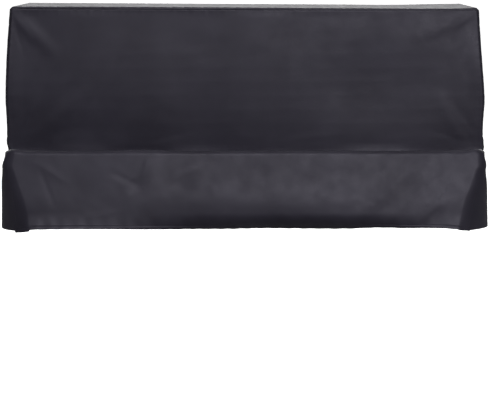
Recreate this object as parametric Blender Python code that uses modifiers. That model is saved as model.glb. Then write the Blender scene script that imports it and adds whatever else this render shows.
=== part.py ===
"""Half-length fitted cover for an upright piano, sewn from black coated cloth.

Six panels are cut and sewn: the top, the upper front, the lower front that falls over
the key lid, two L-shaped sides and the back. Each panel is made as a flat piece of
cloth with its thickness, and is then laid over the one smooth form of the whole cover.

Frame: metres, +X to the right of someone facing the piano, front towards -Y, +Z up.
The origin is the middle of the piano's lid, against the underside of the top panel.
"""
import math

import bmesh
import bpy
import numpy as np
from mathutils import Vector
from mathutils.geometry import delaunay_2d_cdt

# Cloth and sewing
CLOTH = 0.002            # thickness of the coated cloth
HEM_CLOTH = 0.0034       # thickness where the hem is turned up
HEM_WIDTH = 0.012        # height of the hem
HEM_STEP = 0.003         # distance over which the hem thins to one layer
SEAM_GAP = 0.0003        # space between two panels along a seam

# Mesh density
FLAT_COLUMNS = 30        # columns between the two rounded ends of a front, top or back panel
END_COLUMNS = 3          # columns over each rounded end, up to the side seam
ROW_STEP = 0.040         # longest row along the outline
ROW_TURN = math.radians(24)   # most that the outline turns within one row
BACK_ROW_STEP = 0.110    # longest row of the plain back panel
TOP_ROWS = 8
SIDE_RINGS = (0.3, 0.65, 1.0)   # rings of a side panel, between its seam and the end of its round
SIDE_RING_GAP = 0.002    # least space between two places of those rings
SIDE_STEP = 0.045        # spacing of the places further inside a side panel
SIDE_STEP_GAP = 0.028    # least space they keep to any other place
CUT_TOLERANCE = 1e-6

# The side outline of the cover, from the front hem over the top to the back hem
OUTLINE = (
    # corner        y       z      radius
    ("front_hem",  -0.490, -0.682, 0.0),
    ("front_drop", -0.477, -0.590, 0.450),
    ("lid_edge",   -0.437, -0.4335, 0.018),
    ("crease",     -0.189, -0.478, 0.008),
    ("belly",      -0.211, -0.285, 1.500),
    ("front_edge", -0.191,  0.002, 0.013),
    ("back_edge",   0.190,  0.002, 0.013),
    ("back_hem",    0.190, -0.682, 0.0),
)

# How the panels turn round the cover's two ends, at each corner of the outline
ENDS = (
    # corner       width_left width_right depth  fullness seam_left seam_right (degrees)
    ("front_hem",  0.100,     0.104,      0.095, 1.45,    37.0,     29.0),
    ("front_drop", 0.078,     0.080,      0.070, 1.50,    38.0,     33.0),
    ("lid_edge",   0.036,     0.030,      0.017, 1.75,    43.0,     41.0),
    ("crease",     0.013,     0.011,      0.011, 2.00,    45.0,     45.0),
    ("front_edge", 0.012,     0.012,      0.010, 2.00,    45.0,     45.0),
    ("back_edge",  0.012,     0.012,      0.010, 2.00,    45.0,     45.0),
    ("back_hem",   0.014,     0.014,      0.012, 2.00,    45.0,     45.0),
)

# Distance from the middle plane to each side panel, by height
HALF_WIDTH = (
    # z      left   right
    (-0.69, 0.7940, 0.7975),
    (-0.60, 0.7890, 0.7915),
    (-0.54, 0.7870, 0.7870),
    (-0.50, 0.7835, 0.7820),
    (-0.475, 0.7860, 0.7880),
    (-0.45, 0.7930, 0.7990),
    (-0.425, 0.7910, 0.7950),
    (-0.375, 0.7890, 0.7935),
    (-0.30, 0.7905, 0.7960),
    (-0.20, 0.7860, 0.7870),
    (-0.10, 0.7780, 0.7770),
    (0.002, 0.7680, 0.7690),
)

NOSE_TAPER = 0.020       # how much nearer the sides come to the middle plane at the very front
NOSE_TAPER_POWER = 1.2
SHOULDER = {-1: 0.040, 1: 0.042}   # how much further the sides lean in there, up to the key lid's edge
SHOULDER_Z, SHOULDER_HEIGHT = -0.492, 0.058

# Rise of the top panel's front and back edges along the piano
TOP_RISE = (
    # x      front    back
    (-0.77,  0.0035,  0.0035),
    (-0.47,  0.0025,  0.0020),
    (-0.15,  0.0010,  0.0000),
    (0.18,  -0.0010, -0.0015),
    (0.35,  -0.0018, -0.0025),
    (0.51,  -0.0028, -0.0035),
    (0.67,  -0.0030, -0.0010),
    (0.77,   0.0000,  0.0005),
)
TOP_RISE_FADE = 0.07     # depth below the top at which that rise has gone

# How far the hem hangs below its mean height, and how far it rolls in under the keyboard
HEM_LINE = (
    # x      fall    roll
    (-0.80,  0.004,  0.000),
    (-0.76,  0.004,  0.000),
    (-0.72,  0.000, -0.006),
    (-0.66, -0.006, -0.014),
    (-0.45, -0.006, -0.008),
    (-0.27, -0.003,  0.008),
    (-0.14, -0.001,  0.024),
    (0.02,   0.000,  0.037),
    (0.22,  -0.002,  0.038),
    (0.34,   0.000,  0.034),
    (0.48,  -0.006,  0.014),
    (0.62,  -0.009, -0.004),
    (0.70,  -0.003, -0.006),
    (0.76,   0.001,  0.000),
    (0.80,   0.001,  0.000),
)
HEM_FALL_TOP = -0.53     # height at which the fall of the hem begins
HEM_ROLL_TOP = -0.628    # height at which the roll of the hem begins
HEM_Z = -0.682
CORNER_DROP = {-1: 0.006, 1: 0.002}   # how far the front's corner hangs below the side's hem
CORNER_DROP_HEIGHT = 0.045
CORNER_START, CORNER_WIDTH = 0.98, 0.10   # place across the panel where that drop begins, and its run
CORNER_CLEAR = 0.1       # how far that corner stands off the side panel, as a share of its drop

# The arms at the two ends of the keyboard hold the cloth a little above the key lid
ARM_RISE = 0.005
ARM_INNER = 0.690        # distance from the middle plane at which that rise begins
ARM_SLOPE = 0.040
ARM_Z_LOW, ARM_Z_HIGH = -0.560, -0.400

# Main folds of the two front panels, seen from the front: a ridge is positive, a trough negative
FOLDS = (
    # fold                  x0      z0      x1      z1     width  height
    ("upper left pull",    -0.755, -0.020, -0.630, -0.140, 0.024,  0.0030),
    ("lower left pull",    -0.715, -0.430, -0.530, -0.277, 0.032,  0.0028),
    ("lower left hollow",  -0.640, -0.420, -0.430, -0.410, 0.055, -0.0022),
    ("upper right hollow",  0.150, -0.250,  0.720, -0.250, 0.140, -0.0130),
    ("upper right pull",    0.735, -0.020,  0.585, -0.090, 0.024,  0.0030),
    ("right edge trough",   0.683, -0.303,  0.765, -0.435, 0.026, -0.0020),
    ("right edge ridge",    0.645, -0.285,  0.730, -0.440, 0.024,  0.0015),
    ("middle trough",      -0.200, -0.140, -0.200, -0.440, 0.060, -0.0015),
    ("right middle ridge",  0.240, -0.080,  0.210, -0.320, 0.080,  0.0018),
    ("band left swell",    -0.660, -0.640, -0.380, -0.650, 0.045,  0.0050),
    ("band dimple",        -0.350, -0.520, -0.330, -0.560, 0.030, -0.0025),
    ("band left ridge",    -0.290, -0.455, -0.290, -0.520, 0.025,  0.0015),
    ("band middle ridge",  -0.130, -0.465, -0.150, -0.560, 0.040,  0.0020),
    ("band middle swell",  -0.180, -0.595,  0.330, -0.600, 0.055,  0.0055),
    ("band right trough",   0.610, -0.480,  0.400, -0.655, 0.030, -0.0045),
    ("band right ridge",    0.670, -0.560,  0.500, -0.670, 0.026,  0.0030),
)
# Long waves that run through both front panels
WAVES = (
    # length across, phase, lean with height, height
    (0.520, 1.0, 3.0, 0.0012),
    (0.310, 0.2, -4.0, 0.0008),
)
SEAM_FADE = 0.030        # folds and waves die out this close to a seam
END_FADE = 0.08          # and over this share of the half width at the ends

# Swell of the side panels between their seams
SIDE_SWELL = (
    # y      z      reach_y reach_z height
    (-0.05, -0.290, 0.130,  0.160,  0.0075),
    (-0.20, -0.600, 0.150,  0.060,  0.0030),
)
SIDE_SWELL_FADE = 0.08

DIFFERENCE = 0.004       # step used to find the slope of the form on a front, top or back panel
SIDE_DIFFERENCE = 0.001  # and on a side panel
SAMPLE_COUNT = 600       # places along the outline used to find the nearest one
SHARP_ANGLE = math.radians(50)
CLOTH_COLOUR = (0.024, 0.023, 0.029, 1.0)
CLOTH_ROUGHNESS = 0.42


def curve(x, table, column):
    """Read a smooth curve through one column of a table whose first column is x."""
    xs = [row[0] for row in table]
    ys = [row[column] for row in table]
    if x <= xs[0]:
        return ys[0]
    if x >= xs[-1]:
        return ys[-1]
    k = next(i for i in range(len(xs) - 1) if x <= xs[i + 1])

    def slope(i):
        low, high = max(i - 1, 0), min(i + 1, len(xs) - 1)
        return (ys[high] - ys[low]) / (xs[high] - xs[low])

    width = xs[k + 1] - xs[k]
    t = (x - xs[k]) / width
    start, end = slope(k) * width, slope(k + 1) * width
    return (
        ys[k] * (1 + 2 * t) * (1 - t) ** 2
        + ys[k + 1] * t * t * (3 - 2 * t)
        + start * t * (1 - t) ** 2
        - end * t * t * (1 - t)
    )


def fade(value, width):
    """Rise smoothly from 0 to 1 as value goes from 0 to width."""
    t = min(max(value / width, 0.0), 1.0)
    return t * t * (3 - 2 * t)


class Outline:
    """A run of straight lines with a round at each corner, measured by its own length."""

    def __init__(self, corners):
        points = [Vector((y, z)) for _, y, z, _ in corners]
        headings = [math.atan2(*reversed(points[i + 1] - points[i])) for i in range(len(points) - 1)]
        self.runs = []       # start length, start point, heading, curvature
        self.corner = {corners[0][0]: 0.0}
        length, used = 0.0, 0.0
        place = points[0]
        for i, heading in enumerate(headings):
            name, radius = corners[i + 1][0], corners[i + 1][3]
            turn = headings[i + 1] - heading if i + 1 < len(headings) else 0.0
            cut = radius * math.tan(abs(turn) / 2)
            straight = (points[i + 1] - points[i]).length - used - cut
            self.runs.append((length, place, heading, 0.0))
            length += straight
            place = place + straight * Vector((math.cos(heading), math.sin(heading)))
            if turn:
                bend = radius * abs(turn)
                self.runs.append((length, place, heading, turn / bend))
                self.corner[name] = length + bend / 2
                length += bend
                place = self.at(length)[0]
            used = cut
        self.corner[corners[-1][0]] = length
        self.length = length

    def at(self, s):
        """Return the point, the outward normal and the curvature at length s."""
        start, place, heading, bend = [run for run in self.runs if run[0] <= s or run[0] == 0.0][-1]
        turned = heading + bend * (s - start)
        if bend:
            swing = (math.sin(turned) - math.sin(heading), math.cos(heading) - math.cos(turned))
            step = Vector(swing) / bend
        else:
            step = (s - start) * Vector((math.cos(heading), math.sin(heading)))
        return place + step, Vector((-math.sin(turned), math.cos(turned))), bend

    def stations(self, start, end, row_step):
        """Cut the length from start to end into rows, closer together where it turns."""
        stops = [start] + [run[0] for run in self.runs if start < run[0] < end] + [end]
        rows = [start]
        for low, high in zip(stops, stops[1:]):
            turn = abs(self.at((low + high) / 2)[2]) * (high - low)
            count = max(1, math.ceil((high - low) / row_step), math.ceil(turn / ROW_TURN))
            rows += [low + (high - low) * (k + 1) / count for k in range(count)]
        return rows


OUTLINE_PATH = Outline(OUTLINE)
CORNER = OUTLINE_PATH.corner
TOP_FRONT_Y, TOP_BACK_Y = (OUTLINE_PATH.at(CORNER[name])[0][0] for name in ("front_edge", "back_edge"))
LID_Z = OUTLINE_PATH.at(CORNER["lid_edge"])[0][1]
FRONT_Y = OUTLINE_PATH.at(CORNER["front_drop"])[0][0]
END_TABLE = [(CORNER[row[0]],) + row[1:] for row in ENDS]
SEAM_ENDS = (CORNER["crease"], CORNER["front_edge"], CORNER["back_edge"])
SAMPLES = [k * OUTLINE_PATH.length / SAMPLE_COUNT for k in range(SAMPLE_COUNT + 1)]
SAMPLE_POINTS = np.array([OUTLINE_PATH.at(s)[0] for s in SAMPLES])


def end_shape(s, side):
    """Width, depth, fullness and seam angle of the rounded end at length s."""
    width = curve(s, END_TABLE, 1 if side < 0 else 2)
    seam = curve(s, END_TABLE, 5 if side < 0 else 6)
    return width, curve(s, END_TABLE, 3), curve(s, END_TABLE, 4), math.radians(seam)


def half_width(y, z, side):
    forward = max(TOP_FRONT_Y - y, 0.0) / (TOP_FRONT_Y - FRONT_Y)
    lean = NOSE_TAPER + SHOULDER[side] * fade(z - SHOULDER_Z, SHOULDER_HEIGHT)
    return curve(z, HALF_WIDTH, 1 if side < 0 else 2) - lean * forward ** NOSE_TAPER_POWER


def hang(point):
    """Add the rises of the top and the arms, and the fall and roll of the hem, to the plain form."""
    x, y, z = point
    back = fade(y - TOP_FRONT_Y, TOP_BACK_Y - TOP_FRONT_Y)
    rise = curve(x, TOP_RISE, 1) * (1 - back) + curve(x, TOP_RISE, 2) * back
    rise *= fade(z + TOP_RISE_FADE, TOP_RISE_FADE)
    arm = fade(z - ARM_Z_LOW, LID_Z - ARM_Z_LOW) * fade(ARM_Z_HIGH - z, ARM_Z_HIGH - LID_Z)
    rise += ARM_RISE * arm * fade(abs(x) - ARM_INNER, ARM_SLOPE)
    fall = curve(x, HEM_LINE, 1) * fade(HEM_FALL_TOP - z, HEM_FALL_TOP - HEM_Z)
    rolled = min(max((HEM_ROLL_TOP - z) / (HEM_ROLL_TOP - HEM_Z), 0.0), 1.0) ** 2
    roll = curve(x, HEM_LINE, 2) * rolled if y < 0 else 0.0
    return Vector((x, y + roll, z + rise - fall))


def fold_height(x, z, s, across):
    """Height of the folds and waves on the two front panels, nothing at their seams."""
    if s >= CORNER["front_edge"]:
        return 0.0
    height = sum(
        size * math.sin(2 * math.pi * x / length + phase + lean * z) for length, phase, lean, size in WAVES
    )
    for _, x0, z0, x1, z1, width, size in FOLDS:
        line = Vector((x1 - x0, z1 - z0))
        to_point = Vector((x - x0, z - z0))
        share = min(max(to_point.dot(line) / line.length_squared, 0.0), 1.0)
        height += size * math.exp(-((to_point - share * line).length / width) ** 2)
    to_seam = min(abs(s - seam) for seam in SEAM_ENDS)
    return height * fade(to_seam, SEAM_FADE) * fade(1 - abs(across), END_FADE)


def wrap(across, s):
    """Point of the form: across is -1 to 1 on the flat, and to 2 where an end meets the side."""
    (y, z), normal, _ = OUTLINE_PATH.at(s)
    side = -1 if across < 0 else 1
    width, depth, fullness, _ = end_shape(s, side)
    if abs(across) <= 1:
        left = half_width(y, z, -1) - end_shape(s, -1)[0]
        right = half_width(y, z, 1) - end_shape(s, 1)[0]
        x = -left + (left + right) * (across + 1) / 2
        raised = fold_height(x, z, s, across)
        return hang((x, y + normal[0] * raised, z + normal[1] * raised))
    turn = (abs(across) - 1) * math.pi / 2
    depth *= 1 - math.cos(turn) ** (2 / fullness)
    y, z = y - normal[0] * depth, z - normal[1] * depth
    x = half_width(y, z, side) - width * (1 - math.sin(turn) ** (2 / fullness))
    return hang((side * x, y, z))


def wrapped_frame(across, s):
    """Point, outward normal and the two directions along the cloth at a place on the form."""
    low, high = max(s - DIFFERENCE, 0.0), min(s + DIFFERENCE, OUTLINE_PATH.length)
    along = (wrap(across, high) - wrap(across, low)).normalized()
    sideways = (wrap(across + DIFFERENCE, s) - wrap(across - DIFFERENCE, s)).normalized()
    return wrap(across, s), sideways.cross(along).normalized(), sideways, along


def cloth_thickness(s):
    """Thickness at length s, thicker in the hems at both ends of the outline."""
    from_hem = min(s, OUTLINE_PATH.length - s)
    return HEM_CLOTH + (CLOTH - HEM_CLOTH) * fade(from_hem - HEM_WIDTH, HEM_STEP)


def flat_sheet(name, columns, rows):
    """Cut a flat sheet of cells and give it its thickness, in units of columns, rows and cloth."""
    mesh = bpy.data.meshes.new(name)
    cells = bmesh.new()
    bmesh.ops.create_grid(cells, x_segments=columns, y_segments=rows, size=0.5)
    for vertex in cells.verts:
        vertex.co.x = (vertex.co.x + 0.5) * columns
        vertex.co.y = (vertex.co.y + 0.5) * rows
    cells.to_mesh(mesh)
    cells.free()
    sheet = bpy.data.objects.new(name, mesh)
    COLLECTION.objects.link(sheet)
    solidify = sheet.modifiers.new("Thickness", "SOLIDIFY")
    solidify.thickness = 1.0
    solidify.offset = -1.0
    bpy.context.view_layer.update()
    solid = bpy.data.meshes.new_from_object(sheet.evaluated_get(bpy.context.evaluated_depsgraph_get()))
    sheet.modifiers.remove(solidify)
    sheet.data = solid
    bpy.data.meshes.remove(mesh)
    solid.name = name
    return sheet


def drape(name, grid):
    """Lay a flat sheet on a grid of (outer point, inner point) pairs, row by row."""
    sheet = flat_sheet(name, len(grid[0]) - 1, len(grid) - 1)
    for vertex in sheet.data.vertices:
        column, row, layer = round(vertex.co.x), round(vertex.co.y), round(-vertex.co.z)
        vertex.co = grid[row][column][layer]
    finish(sheet)
    return sheet


def finish(sheet):
    """Give a panel its own coated-cloth material and smooth shading."""
    material = bpy.data.materials.new(sheet.name + "_cloth")
    material.use_nodes = True
    shader = material.node_tree.nodes["Principled BSDF"]
    shader.inputs["Base Color"].default_value = CLOTH_COLOUR
    shader.inputs["Roughness"].default_value = CLOTH_ROUGHNESS
    shader.inputs["Metallic"].default_value = 0.0
    sheet.data.materials.append(material)
    sheet.data.shade_smooth()
    sheet.data.set_sharp_from_angle(angle=SHARP_ANGLE)


def columns_at(s):
    """Places across a front, top or back panel, from its left side seam to its right one."""
    left, right = (end_shape(s, side)[3] / (math.pi / 2) for side in (-1, 1))
    ends = [k / END_COLUMNS for k in range(END_COLUMNS)]
    flat = [2 * k / FLAT_COLUMNS - 1 for k in range(FLAT_COLUMNS + 1)]
    return [-1 - left * (1 - e) for e in ends] + flat + [1 + right * (1 - e) for e in reversed(ends)]


def corner_drop(across, s):
    """How far the lower corners of the front panel hang below the side hem."""
    side = -1 if across < 0 else 1
    share = fade(abs(across) - CORNER_START, CORNER_WIDTH) * fade(CORNER_DROP_HEIGHT - s, CORNER_DROP_HEIGHT)
    return CORNER_DROP[side] * share


def make_strip(name, rows):
    """Make a panel that runs from one side seam to the other, on the given rows."""
    grid = []
    for s in rows:
        columns = columns_at(s)
        line = []
        for across in columns:
            point, normal, sideways, along = wrapped_frame(across, s)
            drop = corner_drop(across, s)
            clear = SEAM_GAP / 2 + drop * CORNER_CLEAR
            if across == columns[0]:
                point += sideways * clear
            elif across == columns[-1]:
                point -= sideways * clear
            if s == rows[0] and s > 0:
                point += along * SEAM_GAP / 2
            elif s == rows[-1] and s < OUTLINE_PATH.length:
                point -= along * SEAM_GAP / 2
            point -= along * drop
            line.append((point, point - normal * cloth_thickness(s)))
        grid.append(line)
    return drape(name, grid)


def nearest_on_outline(y, z):
    """Length along the outline nearest a point inside it, and the point's depth there."""
    gaps = SAMPLE_POINTS - np.array((y, z))
    s = SAMPLES[int(np.argmin((gaps ** 2).sum(axis=1)))]
    for _ in range(2):
        place, normal, bend = OUTLINE_PATH.at(s)
        offset = Vector((y, z)) - place
        step = offset.dot(Vector((normal[1], -normal[0]))) / max(1 - bend * offset.dot(normal), 1.0)
        s = min(max(s + step, 0.0), OUTLINE_PATH.length)
    place, normal, _ = OUTLINE_PATH.at(s)
    return s, -(Vector((y, z)) - place).dot(normal)


def side_point(side, y, z):
    """Point of a side panel over a place in its flat L-shaped cut."""
    s, inside = nearest_on_outline(y, z)
    width, depth, fullness, _ = end_shape(s, side)
    edge = min(max(1 - inside / depth, 0.0), 1.0)
    x = half_width(y, z, side) - width * (1 - (1 - edge ** fullness) ** (1 / fullness))
    for y0, z0, reach_y, reach_z, height in SIDE_SWELL:
        swell = math.exp(-((y - y0) / reach_y) ** 2 - ((z - z0) / reach_z) ** 2)
        x += height * swell * fade(inside, SIDE_SWELL_FADE)
    return hang((side * x, y, z))


def side_frame(side, y, z):
    """Point and outward normal of a side panel, away from its seams."""
    h = SIDE_DIFFERENCE
    along_y = side_point(side, y + h, z) - side_point(side, y - h, z)
    along_z = side_point(side, y, z + h) - side_point(side, y, z - h)
    return side_point(side, y, z), side * along_y.cross(along_z).normalized()


def outline_place(side, s, share):
    """Flat place inside the outline at length s, from a share of 0 at the seam to 1 past the round."""
    (y, z), outward, _ = OUTLINE_PATH.at(s)
    _, depth, fullness, seam = end_shape(s, side)
    inside = depth * (1 - (1 - share) * math.cos(seam) ** (2 / fullness))
    return Vector((y - outward[0] * inside, z - outward[1] * inside))


def seam_on_side(side, s):
    """Flat place, point and normal of the side panel's edge at length s."""
    across = side * (1 + end_shape(s, side)[3] / (math.pi / 2))
    point, normal, sideways, _ = wrapped_frame(across, s)
    return outline_place(side, s, 0.0), point + side * sideways * SEAM_GAP / 2, normal


def is_clear(place, places, gap):
    return min((place - other).length for other in places) > gap


def side_rings(side, seam_rows, places):
    """Add rings of places that follow a side panel's seam, and return the lines along them."""
    lines = []
    for share in SIDE_RINGS:
        before = None
        for s in seam_rows[1:-1]:
            place = outline_place(side, s, share)
            if not is_clear(place, places, SIDE_RING_GAP):
                continue
            if before is not None:
                lines.append((before, len(places)))
            before = len(places)
            places.append(place)
    return lines


def side_net(side, places):
    """Add an even net of places between the rings of a side panel, with two rows for its hem."""
    low, high = FRONT_Y, TOP_BACK_Y
    columns = math.ceil((high - low) / SIDE_STEP)
    hem = [HEM_Z + HEM_WIDTH, HEM_Z + HEM_WIDTH + HEM_STEP]
    heights = hem + list(np.arange(hem[-1] + SIDE_STEP, 0.0, SIDE_STEP))
    for row, z in enumerate(heights):
        for k in range(columns):
            place = Vector((low + (high - low) * (k + (row % 2) / 2) / columns, float(z)))
            s, inside = nearest_on_outline(*place)
            gap = HEM_STEP / 2 if row < len(hem) else SIDE_STEP_GAP
            if inside > end_shape(s, side)[1] and is_clear(place, places, gap):
                places.append(place)


def make_side(name, side, seam_rows):
    """Cut one L-shaped side panel flat, inside its seam from hem to hem, and stand it up."""
    seam = [seam_on_side(side, s) for s in seam_rows]
    start, end = seam[-1][0], seam[0][0]
    count = math.ceil((end - start).length / SIDE_STEP)
    places = [flat for flat, _, _ in seam] + [start.lerp(end, k / count) for k in range(1, count)]
    loop = [(k, (k + 1) % len(places)) for k in range(len(places))]
    lines = loop + side_rings(side, seam_rows, places)
    side_net(side, places)
    cut = delaunay_2d_cdt(places, lines, [], 1, CUT_TOLERANCE)
    assert [ids[0] for ids in cut[3]] == list(range(len(places)))
    outer, inner = [], []
    for k, (y, z) in enumerate(places):
        point, normal = seam[k][1:] if k < len(seam) else side_frame(side, y, z)
        outer.append(point)
        inner.append(point - normal * cloth_thickness(z - HEM_Z))
    below = len(places)
    faces = [tuple(cell) for cell in cut[2]]
    faces += [tuple(k + below for k in reversed(cell)) for cell in cut[2]]
    faces += [(a, b, b + below, a + below) for a, b in loop]
    if side < 0:
        faces = [face[::-1] for face in faces]
    mesh = bpy.data.meshes.new(name)
    mesh.from_pydata(outer + inner, [], faces)
    sheet = bpy.data.objects.new(name, mesh)
    COLLECTION.objects.link(sheet)
    finish(sheet)
    return sheet


def rows_between(start, end, row_step):
    return OUTLINE_PATH.stations(CORNER[start], CORNER[end], row_step)


def top_panel_rows():
    """Rows of the top panel, closer together towards its front and back edges."""
    rows = rows_between("front_edge", "back_edge", OUTLINE_PATH.length)
    straight = int(np.argmax(np.diff(rows)))
    low, high = rows[straight], rows[straight + 1]
    inner = [low + (high - low) * (1 - math.cos(math.pi * k / TOP_ROWS)) / 2 for k in range(1, TOP_ROWS)]
    return rows[:straight + 1] + inner + rows[straight + 1:]


def make_cover():
    lower = rows_between("front_hem", "crease", ROW_STEP)
    lower = sorted(lower + [HEM_WIDTH, HEM_WIDTH + HEM_STEP])
    upper = rows_between("crease", "front_edge", ROW_STEP)
    top = top_panel_rows()
    back = rows_between("back_edge", "back_hem", BACK_ROW_STEP)
    back = sorted(back + [OUTLINE_PATH.length - edge for edge in (HEM_WIDTH, HEM_WIDTH + HEM_STEP)])
    make_strip("front_lower", lower)
    make_strip("front_upper", upper)
    make_strip("top_panel", top)
    make_strip("back_panel", back)
    seam_rows = lower + upper[1:] + top[1:] + back[1:]
    for name, side in (("side_left", -1), ("side_right", 1)):
        make_side(name, side, seam_rows)


for old in list(bpy.data.objects):
    bpy.data.objects.remove(old, do_unlink=True)
COLLECTION = bpy.data.collections.new("piano_cover")
bpy.context.scene.collection.children.link(COLLECTION)
make_cover()
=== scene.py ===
import math

import bpy
import numpy as np
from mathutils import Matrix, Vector
from mathutils.geometry import delaunay_2d_cdt


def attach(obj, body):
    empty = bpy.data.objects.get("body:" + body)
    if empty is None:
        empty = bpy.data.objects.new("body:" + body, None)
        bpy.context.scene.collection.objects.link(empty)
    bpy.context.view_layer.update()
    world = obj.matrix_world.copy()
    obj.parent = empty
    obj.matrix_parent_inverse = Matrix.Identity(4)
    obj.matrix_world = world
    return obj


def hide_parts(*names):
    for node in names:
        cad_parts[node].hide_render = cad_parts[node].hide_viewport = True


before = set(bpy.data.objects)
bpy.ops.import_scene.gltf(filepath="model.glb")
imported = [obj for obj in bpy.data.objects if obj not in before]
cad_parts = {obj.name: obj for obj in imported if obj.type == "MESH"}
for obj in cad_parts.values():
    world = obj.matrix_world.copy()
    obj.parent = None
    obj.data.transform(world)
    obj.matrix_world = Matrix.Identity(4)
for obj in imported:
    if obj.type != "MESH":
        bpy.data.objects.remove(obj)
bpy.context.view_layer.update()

# ---------------------------------------------------------------- Camera
# The eye stands 4.5 m in front of the lid's front edge, a little above the lid, and
# looks slightly down on the cover.
CAMERA_TILT = 10.28
camera_lens = bpy.data.cameras.new("camera")
camera_lens.sensor_width = 36.0
camera_lens.lens = 99.86
camera = bpy.data.objects.new("camera", camera_lens)
camera.location = (0.004, -4.69, 0.1737)
camera.rotation_euler = (math.radians(90.0 - CAMERA_TILT), 0.0, 0.0)
bpy.context.scene.collection.objects.link(camera)
bpy.context.scene.camera = camera

# ---------------------------------------------------------------- Top panel
# A rectangle of coated cloth, turned down over the edges of the piano's lid and sewn
# to the other panels on the turn. It sags a little between the lid's two ends.
SEAM_GAP = 0.00004
CLOTH = 0.0018
HEM_CLOTH = 0.0034
HEM_WIDTH = 0.012
HEM_Z = -0.682
OUTLINE = (
    # corner        y       z      radius, from the front hem over the top to the back hem
    ("front_hem",  -0.490, -0.682, 0.0),
    ("front_drop", -0.477, -0.590, 0.450),
    ("lid_edge",   -0.437, -0.4335, 0.018),
    ("crease",     -0.189, -0.478, 0.008),
    ("belly",      -0.211, -0.285, 1.500),
    ("front_edge", -0.191,  0.002, 0.013),
    ("back_edge",   0.190,  0.002, 0.013),
    ("back_hem",    0.190, -0.682, 0.0),
)
ENDS = (
    # corner       width_left width_right depth  fullness seam_left seam_right (degrees)
    ("front_hem",  0.100,     0.104,      0.095, 1.45,    37.0,     29.0),
    ("front_drop", 0.078,     0.080,      0.070, 1.50,    38.0,     33.0),
    ("lid_edge",   0.024,     0.018,      0.014, 1.85,    44.0,     43.0),
    ("crease",     0.013,     0.011,      0.011, 2.00,    45.0,     45.0),
    ("front_edge", 0.012,     0.012,      0.010, 2.00,    45.0,     45.0),
    ("back_edge",  0.012,     0.012,      0.010, 2.00,    45.0,     45.0),
    ("back_hem",   0.014,     0.014,      0.012, 2.00,    45.0,     45.0),
)
HALF_WIDTH = (
    # z      left   right
    (-0.69, 0.7940, 0.7975),
    (-0.60, 0.7890, 0.7915),
    (-0.54, 0.7870, 0.7870),
    (-0.50, 0.7835, 0.7820),
    (-0.475, 0.7860, 0.7880),
    (-0.45, 0.7930, 0.7990),
    (-0.425, 0.7910, 0.7950),
    (-0.375, 0.7890, 0.7935),
    (-0.30, 0.7905, 0.7960),
    (-0.20, 0.7860, 0.7870),
    (-0.10, 0.7780, 0.7770),
    (0.002, 0.7680, 0.7690),
)
NOSE_TAPER, NOSE_CURVE = 0.020, 1.2
SHOULDER = {-1: 0.040, 1: 0.042}
SHOULDER_Z, SHOULDER_HEIGHT = -0.492, 0.058
LID_END_FILL = {-1: 0.0015, 1: 0.0105}
LID_END_LOW, LID_END_LOW_FADE = -0.505, 0.025
LID_END_HIGH, LID_END_HIGH_FADE = -0.450, 0.020
LID_END_REACH = 0.30
TOP_RISE = (
    # x      front    back
    (-0.77,  0.0035,  0.0035),
    (-0.47,  0.0025,  0.0020),
    (-0.15,  0.0010,  0.0000),
    (0.18,  -0.0010, -0.0015),
    (0.35,  -0.0018, -0.0025),
    (0.51,  -0.0028, -0.0035),
    (0.67,  -0.0030, -0.0010),
    (0.77,   0.0000,  0.0005),
)
TOP_RISE_FADE = 0.07
HEM_LINE = (
    # x      fall    roll
    (-0.80,  0.004,  0.000),
    (-0.76,  0.004,  0.000),
    (-0.72,  0.000, -0.006),
    (-0.66, -0.006, -0.014),
    (-0.45, -0.006, -0.008),
    (-0.27, -0.003,  0.008),
    (-0.14, -0.001,  0.024),
    (0.02,   0.000,  0.037),
    (0.22,  -0.002,  0.038),
    (0.34,   0.000,  0.034),
    (0.48,  -0.006,  0.014),
    (0.62,  -0.009, -0.004),
    (0.70,  -0.003, -0.006),
    (0.76,   0.001,  0.000),
    (0.80,   0.001,  0.000),
)
HEM_FALL_TOP, HEM_ROLL_TOP = -0.53, -0.628
ARM_RISE, ARM_INNER, ARM_SLOPE = 0.005, 0.690, 0.040
ARM_Z_LOW, ARM_Z_HIGH = -0.560, -0.400
ROUND_STEP_DEGREES = 2
JUST_BEFORE = 1e-6


def read_curve(x, table, column):
    """Read a smooth curve through one column of a table whose first column is the place."""
    xs = np.array([row[0] for row in table])
    ys = np.array([row[column] for row in table])
    slopes = np.gradient(ys) / np.gradient(xs)
    x = np.clip(x, xs[0], xs[-1])
    k = np.clip(np.searchsorted(xs, x) - 1, 0, len(xs) - 2)
    width = xs[k + 1] - xs[k]
    t = (x - xs[k]) / width
    ends = ys[k] * (1 + 2 * t) * (1 - t) ** 2 + ys[k + 1] * t * t * (3 - 2 * t)
    return ends + width * t * (1 - t) * (slopes[k] * (1 - t) - slopes[k + 1] * t)


def fade(value, width):
    t = np.clip(value / width, 0.0, 1.0)
    return t * t * (3 - 2 * t)


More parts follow.
